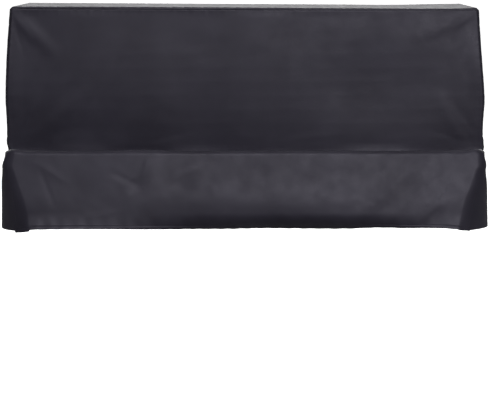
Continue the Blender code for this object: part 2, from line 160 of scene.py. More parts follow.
def rounded_outline(corners):
    """Trace the outline, rounded at each corner: length, y, z, heading and bend at each step."""
    points = np.array([(y, z) for _, y, z, _ in corners])
    legs = np.diff(points, axis=0)
    headings = np.arctan2(legs[:, 1], legs[:, 0])
    turns = np.append(np.diff(headings), 0.0)
    radii = np.array([row[3] for row in corners[1:]])
    cuts = radii * np.tan(np.abs(turns) / 2)
    rows, marks = [], {corners[0][0]: 0.0}
    place, length, used = points[0], 0.0, 0.0
    names = [row[0] for row in corners[1:]]
    for leg, heading, turn, radius, cut, name in zip(legs, headings, turns, radii, cuts, names):
        straight = np.hypot(*leg) - used - cut
        rows.append((length, *place, heading, 0.0))
        place = place + straight * np.array((math.cos(heading), math.sin(heading)))
        length += straight
        rows.append((length - JUST_BEFORE, *place, heading, 0.0))
        steps = max(1, math.ceil(abs(math.degrees(turn)) / ROUND_STEP_DEGREES))
        marks[name] = length + radius * abs(turn) / 2
        for k in range(steps if turn else 0):
            middle = heading + turn * (k + 0.5) / steps
            bend = math.copysign(1 / radius, turn)
            rows.append((length, *place, heading + turn * k / steps, bend))
            chord = 2 * radius * math.sin(abs(turn) / steps / 2)
            place = place + chord * np.array((math.cos(middle), math.sin(middle)))
            length += radius * abs(turn) / steps
        used = cut
    rows.append((length, *place, headings[-1], 0.0))
    return np.array(rows), marks


TRACE, MARK = rounded_outline(OUTLINE)
LENGTH = TRACE[-1, 0]
END_TABLE = [(MARK[row[0]],) + row[1:] for row in ENDS]


def outline_at(s):
    y, z, heading = (np.interp(s, TRACE[:, 0], TRACE[:, k]) for k in (1, 2, 3))
    return y, z, -np.sin(heading), np.cos(heading)


FRONT_Y = float(outline_at(MARK["front_drop"])[0])
TOP_FRONT_Y, TOP_BACK_Y = (float(outline_at(MARK[name])[0]) for name in ("front_edge", "back_edge"))
LID_Z = float(outline_at(MARK["lid_edge"])[1])


def half_width(y, z, side):
    """Half the cover's width: it narrows towards the front, and is fuller at the key lid's ends."""
    forward = np.maximum(TOP_FRONT_Y - y, 0.0) / (TOP_FRONT_Y - FRONT_Y)
    lean = NOSE_TAPER + SHOULDER[side] * fade(z - SHOULDER_Z, SHOULDER_HEIGHT)
    filled = (fade(z - LID_END_LOW, LID_END_LOW_FADE) * fade(LID_END_HIGH - z, LID_END_HIGH_FADE)
              * fade(LID_END_REACH - forward, LID_END_REACH))
    plain = read_curve(z, HALF_WIDTH, 1 if side < 0 else 2)
    return plain + LID_END_FILL[side] * filled - lean * forward ** NOSE_CURVE


def end_shape(s, side):
    """Shape of the round at a panel's end: width, depth, fullness and the angle of its seam."""
    width = read_curve(s, END_TABLE, 1 if side < 0 else 2)
    seam = read_curve(s, END_TABLE, 5 if side < 0 else 6)
    return width, read_curve(s, END_TABLE, 3), read_curve(s, END_TABLE, 4), np.radians(seam)


def hang(x, y, z):
    """Let the plain form sag and hang: the rise of the lid and arms, the fall and roll of the hem."""
    back = fade(y - TOP_FRONT_Y, TOP_BACK_Y - TOP_FRONT_Y)
    rise = read_curve(x, TOP_RISE, 1) * (1 - back) + read_curve(x, TOP_RISE, 2) * back
    rise = rise * fade(z + TOP_RISE_FADE, TOP_RISE_FADE)
    arm = fade(z - ARM_Z_LOW, LID_Z - ARM_Z_LOW) * fade(ARM_Z_HIGH - z, ARM_Z_HIGH - LID_Z)
    rise = rise + ARM_RISE * arm * fade(np.abs(x) - ARM_INNER, ARM_SLOPE)
    fall = read_curve(x, HEM_LINE, 1) * fade(HEM_FALL_TOP - z, HEM_FALL_TOP - HEM_Z)
    rolled = np.clip((HEM_ROLL_TOP - z) / (HEM_ROLL_TOP - HEM_Z), 0.0, 1.0) ** 2 * (y < 0)
    roll = read_curve(x, HEM_LINE, 2) * rolled
    return np.stack([x, y + roll, z + rise - fall], axis=-1)


def wrap(across, s):
    """Place on the cover: across is -1 to 1 on the flat, and to 2 where an end meets the side."""
    y, z, out_y, out_z = outline_at(s)
    shapes = {side: end_shape(s, side) for side in (-1, 1)}
    left, right = (half_width(y, z, side) - shapes[side][0] for side in (-1, 1))
    x = -left + (left + right) * (np.clip(across, -1, 1) + 1) / 2
    for side in (-1, 1):
        width, depth, fullness, _ = shapes[side]
        turn = np.clip(side * across - 1, 0, 1) * math.pi / 2
        round_here = turn > 0
        inset = depth * (1 - np.cos(turn) ** (2 / fullness))
        y, z = y - out_y * inset, z - out_z * inset
        edge = half_width(y, z, side) - width * (1 - np.sin(turn) ** (2 / fullness))
        x = np.where(round_here, side * edge, x)
    return hang(x, y, z)


FOLD_TIP = 0.35
SLACK_FALL, SLACK_BEND, SLACK_BEND_PACE = 1.1, 1.3, 0.37
GROOVE_DEPTH, GROOVE_WIDTH = 0.0011, 0.0028
WELT_HEIGHT, WELT_WIDTH, WELT_AWAY = 0.0004, 0.003, 0.0065
PUCKER_HEIGHT, PUCKER_REACH, PUCKER_START = 0.00016, 0.016, 0.004
PUCKER_LENGTHS = (0.021, 0.034, 0.013)
DEEP_SEAM, DEEP_SEAM_X, DEEP_SEAM_FADE = 1.4, -0.15, 0.60
DEEP_SEAM_END, DEEP_SEAM_END_FADE = 0.765, 0.05
LOW_CORNER_SEAM = 0.1


def line_relief(u, v, lines):
    """Height of soft ridges and troughs along straight lines: from, to, width and height."""
    height = np.zeros_like(u)
    for u0, v0, u1, v1, width, size in lines:
        du, dv = u1 - u0, v1 - v0
        share = np.clip(((u - u0) * du + (v - v0) * dv) / (du * du + dv * dv), 0.0, 1.0)
        taper = FOLD_TIP + (1 - FOLD_TIP) * np.sin(math.pi * share)
        away = np.hypot(u - u0 - share * du, v - v0 - share * dv)
        height += size * taper * np.exp(-(away / width) ** 2)
    return height


def slack(u, v, seed, count, longest, shortest, height):
    """Uneven slack of a hanging cloth: faint waves in all directions, the longest the highest."""
    random = np.random.default_rng(seed)
    total = np.zeros_like(u)
    for length in np.geomspace(longest, shortest, count):
        angle, phase = random.uniform(0, 2 * math.pi, 2)
        wave = (u * math.cos(angle) + v * math.sin(angle)) * 2 * math.pi / length
        bend = SLACK_BEND * np.sin(wave * SLACK_BEND_PACE + 2 * phase)
        total += (length / longest) ** SLACK_FALL * np.sin(wave + phase + bend)
    return height * total / math.sqrt(count)


def seam_relief(distance, along, seed):
    """A seam draws its two cloths in, and puckers them a little on both sides."""
    random = np.random.default_rng(seed)
    phase = random.uniform(0, 2 * math.pi, 3)
    ripple = sum(np.sin(2 * math.pi * along / length + start)
                 for length, start in zip(PUCKER_LENGTHS, phase))
    groove = -GROOVE_DEPTH * np.exp(-(distance / GROOVE_WIDTH) ** 2)
    welt = WELT_HEIGHT * np.exp(-((distance - WELT_AWAY) / WELT_WIDTH) ** 2)
    reach = np.exp(-(distance / PUCKER_REACH) ** 2)
    pucker = PUCKER_HEIGHT * ripple * reach * fade(distance, PUCKER_START)
    return groove + welt + pucker


def top_seam_pull(x):
    """The seam along the top's front edge is drawn in deeper towards its left end."""
    leftward = 1 - fade(x - DEEP_SEAM_X, DEEP_SEAM_FADE)
    return 1 + DEEP_SEAM * leftward * fade(DEEP_SEAM_END - np.abs(x), DEEP_SEAM_END_FADE)


def seam_strength(s):
    """The seams at the front's two lower corners lie flatter than the others."""
    above = fade(s - MARK["front_drop"], MARK["crease"] - MARK["front_drop"])
    return LOW_CORNER_SEAM + (1 - LOW_CORNER_SEAM) * above


cloth = bpy.data.materials.new("black_coated_cloth")
cloth.use_nodes = True
nodes, links = cloth.node_tree.nodes, cloth.node_tree.links
coating = nodes["Principled BSDF"]
coating.inputs["Specular IOR Level"].default_value = 0.32
coating.inputs["Specular Tint"].default_value = (0.90, 0.87, 1.0, 1.0)
place = nodes.new("ShaderNodeTexCoord")


def map_range(tree_nodes, span, levels, interpolation="LINEAR"):
    """A node that goes from the first level to the second while its value crosses the span."""
    spread = tree_nodes.new("ShaderNodeMapRange")
    spread.interpolation_type = interpolation
    for name, value in zip(("From Min", "From Max", "To Min", "To Max"), (*span, *levels)):
        spread.inputs[name].default_value = value
    return spread


def noise_mask(scale, detail, span, levels):
    """A soft noise over the cloth, spread from the first level to the second."""
    noise = nodes.new("ShaderNodeTexNoise")
    noise.inputs["Scale"].default_value = scale
    noise.inputs["Detail"].default_value = detail
    links.new(place.outputs["Object"], noise.inputs["Vector"])
    spread = map_range(nodes, span, levels)
    links.new(noise.outputs["Fac"], spread.inputs["Value"])
    return spread.outputs["Result"]


patches = noise_mask(5.0, 4.0, span=(0.35, 0.68), levels=(0.0, 1.0))
tint = nodes.new("ShaderNodeMix")
tint.data_type = "RGBA"
tint.inputs["A"].default_value = (0.0190, 0.0172, 0.0255, 1.0)
tint.inputs["B"].default_value = (0.0270, 0.0250, 0.0360, 1.0)
links.new(patches, tint.inputs["Factor"])
links.new(tint.outputs["Result"], coating.inputs["Base Color"])
gloss = noise_mask(23.0, 5.0, span=(0.3, 0.7), levels=(0.43, 0.56))
links.new(gloss, coating.inputs["Roughness"])
pebble = nodes.new("ShaderNodeTexVoronoi")
pebble.feature = "DISTANCE_TO_EDGE"
pebble.inputs["Scale"].default_value = 620.0
pebble.inputs["Randomness"].default_value = 1.0
wobble = nodes.new("ShaderNodeTexNoise")
wobble.inputs["Scale"].default_value = 900.0
grain = nodes.new("ShaderNodeMath")
grain.operation = "MULTIPLY_ADD"
grain.inputs[1].default_value = 0.8
links.new(place.outputs["Object"], pebble.inputs["Vector"])
links.new(place.outputs["Object"], wobble.inputs["Vector"])
links.new(pebble.outputs["Distance"], grain.inputs[0])
links.new(wobble.outputs["Fac"], grain.inputs[2])
emboss = nodes.new("ShaderNodeBump")
emboss.inputs["Strength"].default_value = 0.35
emboss.inputs["Distance"].default_value = 0.00035
links.new(grain.outputs["Value"], emboss.inputs["Height"])
links.new(emboss.outputs["Normal"], coating.inputs["Normal"])

# The cut edges of a panel are sharp, but those in the seams round the top stay soft.
SOFT_SEAM_Z = -0.012
FINEST_ROW, BEND_PER_ROW = 0.0006, math.radians(6)
PROBE_ALONG, PROBE_ACROSS = 0.001, 0.004


def add_cloth(name, points, faces, thick, nodes_replaced):
    """Make a panel from its outer face: its thickness, its cloth and its place on the cover."""
    mesh = bpy.data.meshes.new(name)
    mesh.from_pydata(points.tolist(), [], faces)
    mesh.shade_smooth()
    face_edges = np.zeros(len(mesh.loops), dtype=np.int32)
    mesh.loops.foreach_get("edge_index", face_edges)
    cut_edges = np.bincount(face_edges, minlength=len(mesh.edges)) == 1
    edge_ends = np.zeros(2 * len(mesh.edges), dtype=np.int32)
    mesh.edges.foreach_get("vertices", edge_ends)
    cut_edges &= points[edge_ends, 2].reshape(-1, 2).min(axis=1) < SOFT_SEAM_Z
    mesh.attributes.new("sharp_edge", "BOOLEAN", "EDGE").data.foreach_set("value", cut_edges)
    panel = bpy.data.objects.new(name, mesh)
    bpy.context.scene.collection.objects.link(panel)
    panel.data.materials.append(cloth)
    layers = panel.vertex_groups.new(name="layers")
    for k, share in enumerate(thick / HEM_CLOTH):
        layers.add([k], float(share), "REPLACE")
    solidify = panel.modifiers.new("cloth", "SOLIDIFY")
    solidify.thickness = HEM_CLOTH
    solidify.offset = -1.0
    solidify.vertex_group = "layers"
    solidify.use_rim = True
    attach(panel, "root")
    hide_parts(*nodes_replaced)


def stations(start, end, step):
    """Lengths along the outline from start to end, closer where it turns tightly."""
    here = [start]
    while here[-1] < end:
        near = np.interp(here[-1] + step / 2, TRACE[:, 0], np.abs(TRACE[:, 4]))
        here.append(here[-1] + max(FINEST_ROW, min(step, BEND_PER_ROW / max(near, 1e-3))))
    here = np.array(here)
    return start + (here - start) * (end - start) / (here[-1] - start)


def seam_columns(s, flat_count, end_count):
    """Places across a panel for each row: the flat, and the round down to the seam at each end."""
    flat = np.linspace(-1, 1, flat_count + 1)
    share = np.linspace(1, 0, end_count, endpoint=False)[None, :]
    left, right = (1 + end_shape(s, side)[3][:, None] / (math.pi / 2) for side in (-1, 1))
    left_part = -1 - (left - 1) * share
    right_part = (1 + (right - 1) * share)[:, ::-1]
    return np.concatenate([left_part, np.repeat(flat[None, :], len(s), axis=0), right_part], axis=1)


def unit(vectors):
    return vectors / np.linalg.norm(vectors, axis=-1, keepdims=True)


def grid_faces(rows, columns):
    a = (np.arange(rows - 1)[:, None] * columns + np.arange(columns - 1)[None, :]).ravel()
    return np.stack([a, a + 1, a + columns + 1, a + columns], axis=1).tolist()


def surface_grid(s, across, relief):
    """Points and directions of a panel's outer face, with its relief along the normal."""
    rows = np.repeat(s[:, None], across.shape[1], axis=1)
    plain = wrap(across, rows)
    after = wrap(across, np.minimum(rows + PROBE_ALONG, LENGTH))
    along = after - wrap(across, np.maximum(rows - PROBE_ALONG, 0.0))
    sideways = wrap(across + PROBE_ACROSS, rows) - wrap(across - PROBE_ACROSS, rows)
    normal = unit(np.cross(sideways, along))
    steps = np.linalg.norm(np.diff(plain, axis=1), axis=2)
    run = np.concatenate([np.zeros((len(s), 1)), np.cumsum(steps, axis=1)], axis=1)
    to_seam = np.minimum(run, run[:, -1:] - run)
    points = plain + normal * relief(plain, rows, to_seam)[..., None]
    points[:, 0] += unit(sideways[:, 0]) * SEAM_GAP / 2
    points[:, -1] -= unit(sideways[:, -1]) * SEAM_GAP / 2
    return points, normal, unit(along)


def top_relief(plain, rows, to_seam):
    x, y = plain[..., 0], plain[..., 1]
    inner = np.minimum(fade(to_seam, 0.05), fade(0.175 - np.abs(y), 0.04))
    height = slack(x, y, seed=11, count=14, longest=0.42, shortest=0.05, height=0.0010) * inner
    to_edge = np.minimum(rows - MARK["front_edge"], MARK["back_edge"] - rows)
    pull = np.where(y < 0, top_seam_pull(x), 1.0)
    return height + pull * seam_relief(to_edge, x, 12) + seam_relief(to_seam, y, 13)


top_s = stations(MARK["front_edge"] + SEAM_GAP / 2, MARK["back_edge"] - SEAM_GAP / 2, step=0.006)
top_across = seam_columns(top_s, flat_count=240, end_count=10)
top_points, top_out, _ = surface_grid(top_s, top_across, top_relief)
add_cloth("top_cloth", top_points.reshape(-1, 3), grid_faces(*top_across.shape),
          np.full(top_across.size, CLOTH), ["top_panel"])

# ---------------------------------------------------------------- Upper front
# One piece from the top edge down to the crease above the key lid. The lid and the two
# arms below pull it into soft diagonal folds, and it bellies out a little between.
UPPER_FOLDS = (
    # x0      z0      x1      z1     width  height
    (-0.755, -0.020, -0.630, -0.140, 0.024,  0.0030),
    (-0.715, -0.430, -0.530, -0.277, 0.032,  0.0028),
    (-0.640, -0.420, -0.430, -0.410, 0.055, -0.0022),
    (0.150, -0.250,   0.720, -0.250, 0.140, -0.0130),
    (0.735, -0.020,  0.585, -0.090, 0.024,  0.0030),
    (0.683, -0.303,  0.765, -0.435, 0.026, -0.0020),
    (0.645, -0.285,  0.730, -0.440, 0.024,  0.0015),
    (-0.200, -0.140, -0.200, -0.440, 0.060, -0.0015),
    (0.240, -0.080,  0.210, -0.320, 0.080,  0.0018),
)
UPPER_CREASES = (
    (-0.762, -0.012, -0.700, -0.100, 0.009,  0.0011),
    (-0.758, -0.030, -0.725, -0.150, 0.007, -0.0008),
    (-0.735, -0.435, -0.640, -0.372, 0.014,  0.0007),
    (-0.700, -0.440, -0.560, -0.395, 0.015, -0.0005),
    (-0.745, -0.420, -0.690, -0.300, 0.008,  0.0008),
    (0.762, -0.012,  0.690, -0.062, 0.009,  0.0011),
    (0.756, -0.030,  0.730, -0.130, 0.007, -0.0008),
    (0.770, -0.438,  0.700, -0.340, 0.011,  0.0008),
    (0.740, -0.442,  0.620, -0.400, 0.010, -0.0006),
    (-0.330, -0.442, -0.180, -0.405, 0.012, -0.0007),
    (0.120, -0.440,  0.330, -0.412, 0.012,  0.0006),
)
WAVES = (
    # length across, phase, lean with height, height
    (0.520, 1.0, 3.0, 0.0012),
    (0.310, 0.2, -4.0, 0.0008),
)
SEAM_FADE, END_SEAM_FADE = 0.030, 0.06
FOLD_STRENGTH = 1.15
TUCK_DEPTH, TUCK_WIDTH = 0.0014, 0.006


def front_relief(plain, rows, to_seam, folds, creases, seed):
    """Folds, creases and waves of a front panel; the folds die out towards its seams."""
    x, z = plain[..., 0], plain[..., 2]
    height = sum(size * np.sin(2 * math.pi * x / length + phase + lean * z)
                 for length, phase, lean, size in WAVES)
    height = height + line_relief(x, z, folds) * FOLD_STRENGTH
    to_edge = np.minimum(np.abs(rows - MARK["crease"]), MARK["front_edge"] - rows)
    height = height * fade(to_edge, SEAM_FADE) * fade(to_seam, END_SEAM_FADE)
    near = fade(to_edge, 0.012) * fade(to_seam, 0.020)
    loose = slack(x, z, seed, count=16, longest=0.40, shortest=0.035, height=0.0013)
    height = height + (line_relief(x, z, creases) + loose) * near
    pull = np.where(rows > (MARK["crease"] + MARK["front_edge"]) / 2, top_seam_pull(x), 1.0)
    tuck = -TUCK_DEPTH * (pull - 1) * np.exp(-(to_edge / TUCK_WIDTH) ** 2)
    height = height + pull * seam_relief(to_edge, x, seed + 1) + tuck
    return height + seam_strength(rows) * seam_relief(to_seam, z, seed + 2)


def upper_relief(plain, rows, to_seam):
    return front_relief(plain, rows, to_seam, UPPER_FOLDS, UPPER_CREASES, 21)


upper_s = stations(MARK["crease"] + SEAM_GAP / 2, MARK["front_edge"] - SEAM_GAP / 2, step=0.0055)
upper_across = seam_columns(upper_s, flat_count=300, end_count=12)
upper_points, upper_out, _ = surface_grid(upper_s, upper_across, upper_relief)
add_cloth("upper_front_cloth", upper_points.reshape(-1, 3), grid_faces(*upper_across.shape),
          np.full(upper_across.size, CLOTH), ["front_upper"])

# ---------------------------------------------------------------- Lower front
# It lies over the key lid, turns down at the lid's edge and hangs in front of the
# keyboard. Its lower edge is turned up and stitched, and rolls in under its own weight.
LOWER_FOLDS = (
    # x0      z0      x1      z1     width  height
    (-0.660, -0.640, -0.380, -0.650, 0.045,  0.0050),
    (-0.350, -0.520, -0.330, -0.560, 0.030, -0.0025),
    (-0.290, -0.455, -0.290, -0.520, 0.025,  0.0015),
    (-0.130, -0.465, -0.150, -0.560, 0.040,  0.0020),
    (-0.180, -0.595,  0.330, -0.600, 0.055,  0.0055),
    (0.610, -0.480,  0.400, -0.655, 0.030, -0.0045),
    (0.670, -0.560,  0.500, -0.670, 0.026,  0.0030),
)
LOWER_CREASES = (
    (-0.660, -0.470, -0.560, -0.530, 0.010,  0.0009),
    (-0.640, -0.500, -0.600, -0.600, 0.009, -0.0008),
    (-0.420, -0.500, -0.330, -0.545, 0.010, -0.0010),
    (-0.300, -0.450, -0.320, -0.510, 0.009,  0.0009),
    (-0.220, -0.520, -0.130, -0.480, 0.012,  0.0008),
    (0.050, -0.470,  0.070, -0.560, 0.016, -0.0008),
    (0.630, -0.500,  0.480, -0.610, 0.010, -0.0012),
    (0.660, -0.520,  0.560, -0.650, 0.010,  0.0010),
    (-0.500, -0.640, -0.380, -0.620, 0.012,  0.0008),
    (0.200, -0.560,  0.330, -0.600, 0.014,  0.0007),
)
CORNER_DROP = {-1: 0.006, 1: 0.002}
CORNER_DROP_HEIGHT = 0.045
CORNER_START, CORNER_WIDTH = 0.98, 0.10
HEM_STEP, HEM_DRAW, HEM_DRAW_WIDTH, HEM_STITCH_DROP = 0.0007, 0.0012, 0.0016, 0.0015
HEM_RIPPLE, HEM_RIPPLE_LENGTH, HEM_RIPPLE_FADE = 0.0005, 0.047, 0.030
HEM_ROW = 0.0008


def hem_relief(up):
    """A hem stands a little proud of its cloth and is drawn in along its line of stitches."""
    band = HEM_STEP * (1 - fade(up - HEM_WIDTH, 0.0015)) * fade(up + 0.0012, 0.003)
    return band - HEM_DRAW * np.exp(-((up - HEM_WIDTH + HEM_STITCH_DROP) / HEM_DRAW_WIDTH) ** 2)


def hem_thickness(up):
    return HEM_CLOTH + (CLOTH - HEM_CLOTH) * fade(up - HEM_WIDTH, 0.003)


def lower_relief(plain, rows, to_seam):
    x = plain[..., 0]
    ripple = HEM_RIPPLE * np.sin(2 * math.pi * x / HEM_RIPPLE_LENGTH + 1.7 * np.sin(x * 9.0))
    hem_ripple = ripple * (1 - fade(rows - HEM_WIDTH, HEM_RIPPLE_FADE))
    height = front_relief(plain, rows, to_seam, LOWER_FOLDS, LOWER_CREASES, 31)
    return height + hem_relief(rows) + hem_ripple


hem_s = np.arange(0.0, HEM_WIDTH + 0.004, HEM_ROW)
lower_s = np.concatenate([
    hem_s, stations(hem_s[-1] + 0.002, MARK["crease"] - SEAM_GAP / 2, step=0.0055)])
lower_across = seam_columns(lower_s, flat_count=290, end_count=16)
lower_points, lower_out, lower_along = surface_grid(lower_s, lower_across, lower_relief)
low = fade(CORNER_DROP_HEIGHT - lower_s, CORNER_DROP_HEIGHT)[:, None]
for side in (-1, 1):
    reach = fade(side * lower_across - CORNER_START, CORNER_WIDTH) * low
    lower_points -= lower_along * (CORNER_DROP[side] * reach)[..., None]
add_cloth("lower_front_cloth", lower_points.reshape(-1, 3), grid_faces(*lower_across.shape),
          np.repeat(hem_thickness(lower_s), lower_across.shape[1]), ["front_lower"])

# ---------------------------------------------------------------- Back panel
# One plain piece behind the piano, with the same turned-up hem as the front.
BACK_FADE = 0.03


def back_relief(plain, rows, to_seam):
    x, z = plain[..., 0], plain[..., 2]
    near = (fade(LENGTH - rows, BACK_FADE) * fade(rows - MARK["back_edge"], BACK_FADE)
            * fade(to_seam, BACK_FADE))
    loose = slack(x, z, seed=41, count=14, longest=0.50, shortest=0.06, height=0.0014)
    height = loose * near + hem_relief(LENGTH - rows)
    return height + seam_relief(rows - MARK["back_edge"], x, 42) + seam_relief(to_seam, z, 43)


back_s = np.concatenate([
    stations(MARK["back_edge"] + SEAM_GAP / 2, LENGTH - hem_s[-1] - 0.002, step=0.008),
    LENGTH - hem_s[::-1]])
back_across = seam_columns(back_s, flat_count=240, end_count=10)
back_points, back_out, _ = surface_grid(back_s, back_across, back_relief)
add_cloth("back_cloth", back_points.reshape(-1, 3), grid_faces(*back_across.shape),
          np.repeat(hem_thickness(LENGTH - back_s), back_across.shape[1]),
          ["back_panel"])

# ---------------------------------------------------------------- Two sides
# Each is cut as an L: tall behind, low under the arm of the keyboard. It billows between
# its seams and is sewn all round, except along its hem.
SIDE_SWELL = (
    # y      z      reach_y reach_z height
    (-0.05, -0.290, 0.130,  0.160,  0.0075),
    (-0.20, -0.600, 0.150,  0.060,  0.0030),
)
SIDE_FOLDS = (
    # y0      z0      y1      z1     width  height
    (-0.175, -0.455, 0.020, -0.560, 0.022, -0.0030),
    (-0.185, -0.470, -0.090, -0.640, 0.024,  0.0030),
    (-0.200, -0.460, -0.330, -0.610, 0.020, -0.0022),
    (-0.165, -0.430, 0.060, -0.330, 0.024,  0.0028),
    (-0.160, -0.400, -0.060, -0.230, 0.020, -0.0020),
    (-0.180, -0.020, -0.080, -0.120, 0.018,  0.0024),
    (0.175, -0.020,  0.070, -0.130, 0.020,  0.0022),
    (-0.380, -0.660, -0.300, -0.540, 0.022,  0.0026),
    (0.150, -0.650,  0.090, -0.480, 0.030,  0.0020),
)
SIDE_CREASES = (
    (-0.180, -0.450, -0.080, -0.480, 0.007,  0.0009),
    (-0.182, -0.456, -0.110, -0.540, 0.007, -0.0009),
    (-0.184, -0.440, -0.110, -0.380, 0.007, -0.0008),
    (-0.240, -0.465, -0.290, -0.540, 0.008,  0.0008),
    (-0.175, -0.012, -0.125, -0.070, 0.007,  0.0009),
    (0.172, -0.014,  0.120, -0.075, 0.007, -0.0008),
)
NEARBY = np.arange(0.0, LENGTH, 0.0015)
SEARCH_BATCH, SEARCH_ROUNDS = 500, 3
SWELL_FADE = 0.08
RING_SHARES, FINE_RING = (0.15, 0.32, 0.55, 0.8, 1.05), 0.5
SIDE_CELL, HEM_CELL, HEM_COUNT = 0.0085, 0.0016, 80
NET_FRONT, NET_BACK = -0.46, 0.19
HEM_NET_FRONT, HEM_NET_BACK = -0.43, 0.18
SIDE_RIPPLE, SIDE_RIPPLE_LENGTH = 0.0006, 0.053
PROBE_SIDE = 0.0015


def nearest_on_outline(y, z):
    """Length along the outline nearest each point inside it, and the point's depth there."""
    trace_y, trace_z, _, _ = outline_at(NEARBY)
    batches = [slice(k, k + SEARCH_BATCH) for k in range(0, len(y), SEARCH_BATCH)]
    s = np.concatenate([
        NEARBY[np.argmin((y[k, None] - trace_y) ** 2 + (z[k, None] - trace_z) ** 2, axis=1)]
        for k in batches])
    for _ in range(SEARCH_ROUNDS):
        near_y, near_z, out_y, out_z = outline_at(s)
        inside = -((y - near_y) * out_y + (z - near_z) * out_z)
        forward = (y - near_y) * out_z - (z - near_z) * out_y
        bend = TRACE[np.searchsorted(TRACE[:, 0], s, side="right") - 1, 4]
        s = np.clip(s + forward / np.maximum(1 + bend * inside, 0.25), 0.0, LENGTH)
    near_y, near_z, out_y, out_z = outline_at(s)
    return s, -((y - near_y) * out_y + (z - near_z) * out_z)


def side_form(side, y, z):
    """The side panel's plain form over each place of its flat cut."""
    s, inside = nearest_on_outline(y, z)
    width, depth, fullness, _ = end_shape(s, side)
    edge = np.clip(1 - inside / depth, 0.0, 1.0)
    x = half_width(y, z, side) - width * (1 - (1 - edge ** fullness) ** (1 / fullness))
    for y0, z0, reach_y, reach_z, height in SIDE_SWELL:
        swell = np.exp(-((y - y0) / reach_y) ** 2 - ((z - z0) / reach_z) ** 2)
        x = x + height * swell * fade(inside, SWELL_FADE)
    return hang(side * x, y, z), s, inside


def outline_place(side, s, share):
    """Flat places inside the outline, from a share of 0 at the seam to 1 past the round."""
    y, z, out_y, out_z = outline_at(s)
    _, depth, fullness, seam = end_shape(s, side)
    inside = depth * (1 - (1 - share) * np.cos(seam) ** (2 / fullness))
    return np.stack([y - out_y * inside, z - out_z * inside], axis=1)


def side_cut(side, seam_s):
    """Cut the L in fine cells: places, triangles, and how many places lie on the seam."""
    seam = outline_place(side, seam_s, 0.0)
    hem = np.linspace(seam[-1], seam[0], HEM_COUNT)[1:-1]
    rings = [outline_place(side, seam_s[2:-2:1 if share < FINE_RING else 2], share)
             for share in RING_SHARES]
    y, z = np.meshgrid(np.arange(NET_FRONT, NET_BACK, SIDE_CELL),
                       np.arange(HEM_Z + HEM_WIDTH + 0.004, 0.0, SIDE_CELL))
    y = y + (np.arange(y.shape[0])[:, None] % 2) * SIDE_CELL / 2
    net = np.stack([y.ravel(), z.ravel()], axis=1)
    hem_y, hem_z = np.meshgrid(np.arange(HEM_NET_FRONT, HEM_NET_BACK, SIDE_CELL),
                               HEM_Z + np.arange(0.0020, HEM_WIDTH + 0.002, HEM_CELL))
    net = np.concatenate([net, np.stack([hem_y.ravel(), hem_z.ravel()], axis=1)])
    s, inside = nearest_on_outline(*net.T)
    depth = end_shape(s, side)[1]
    net = net[inside > np.maximum(depth * RING_SHARES[-1], 0.012) + SIDE_CELL / 3]
    places = np.concatenate([seam, hem] + rings + [net])
    count = len(seam) + len(hem)
    places = places[(places[:, 1] > HEM_Z + 0.0012) | (np.arange(len(places)) < count)]
    loop = [(k, (k + 1) % count) for k in range(count)]
    cut = delaunay_2d_cdt([Vector(p) for p in places], loop, [], 1, 1e-6)
    return np.array([tuple(p) for p in cut[0]]), [tuple(f) for f in cut[2]], len(seam)


def side_relief(y, z, s, inside, side):
    """Folds, creases and slack of a side panel, with its hem and its seam."""
    _, depth, fullness, seam = end_shape(s, side)
    to_seam = np.maximum(inside - depth * (1 - np.cos(seam) ** (2 / fullness)), 0.0)
    height = line_relief(y, z, SIDE_FOLDS) * fade(to_seam, 0.035)
    loose = slack(y, z, seed=50 + side, count=14, longest=0.34, shortest=0.035, height=0.0012)
    height += (line_relief(y, z, SIDE_CREASES) + loose) * fade(to_seam, 0.015)
    ripple = SIDE_RIPPLE * np.sin(2 * math.pi * y / SIDE_RIPPLE_LENGTH + 1.5 * np.sin(y * 11.0))
    height += hem_relief(z - HEM_Z) + ripple * (1 - fade(z - HEM_Z - HEM_WIDTH, HEM_RIPPLE_FADE))
    on_top = (s > MARK["front_edge"]) & (s < MARK["back_edge"])
    on_lid = (s < MARK["crease"]) & (s > MARK["lid_edge"])
    along = np.where(on_top | on_lid, y, z)
    return height + seam_strength(s) * seam_relief(to_seam, along, 52 + side)


def side_surface(side, y, z):
    """Outer face of a side panel over places in its flat cut, and the way it faces there."""
    form, s, inside = side_form(side, y, z)
    dy = side_form(side, y + PROBE_SIDE, z)[0] - side_form(side, y - PROBE_SIDE, z)[0]
    dz = side_form(side, y, z + PROBE_SIDE)[0] - side_form(side, y, z - PROBE_SIDE)[0]
    normal = unit(np.cross(dy, dz)) * side
    return form + normal * side_relief(y, z, s, inside, side)[:, None], normal


seam_s = np.concatenate([lower_s, upper_s, top_s, back_s])
seam_ends = {}
for side, name, node in ((-1, "left_side_cloth", "side_left"), (1, "right_side_cloth", "side_right")):
    places, cells, seam_count = side_cut(side, seam_s)
    y, z = places.T
    points, _ = side_surface(side, y, z)
    across = side * (1 + end_shape(seam_s, side)[3] / (math.pi / 2))
    edge = wrap(across, seam_s)
    before, after = (wrap(across, np.clip(seam_s + d, 0, LENGTH)) for d in (-PROBE_ALONG, PROBE_ALONG))
    sideways = unit(wrap(across + PROBE_ACROSS, seam_s) - wrap(across - PROBE_ACROSS, seam_s))
    edge_normal = unit(np.cross(sideways, after - before))
    groove = seam_strength(seam_s) * seam_relief(np.zeros(1), np.zeros(1), 0)
    edge = edge + edge_normal * groove[:, None] + side * sideways * SEAM_GAP / 2
    points[:seam_count] = edge
    seam_ends[side] = (y[0], y[seam_count - 1])
    faces = cells if side > 0 else [cell[::-1] for cell in cells]
    add_cloth(name, points, faces, hem_thickness(z - HEM_Z), [node])

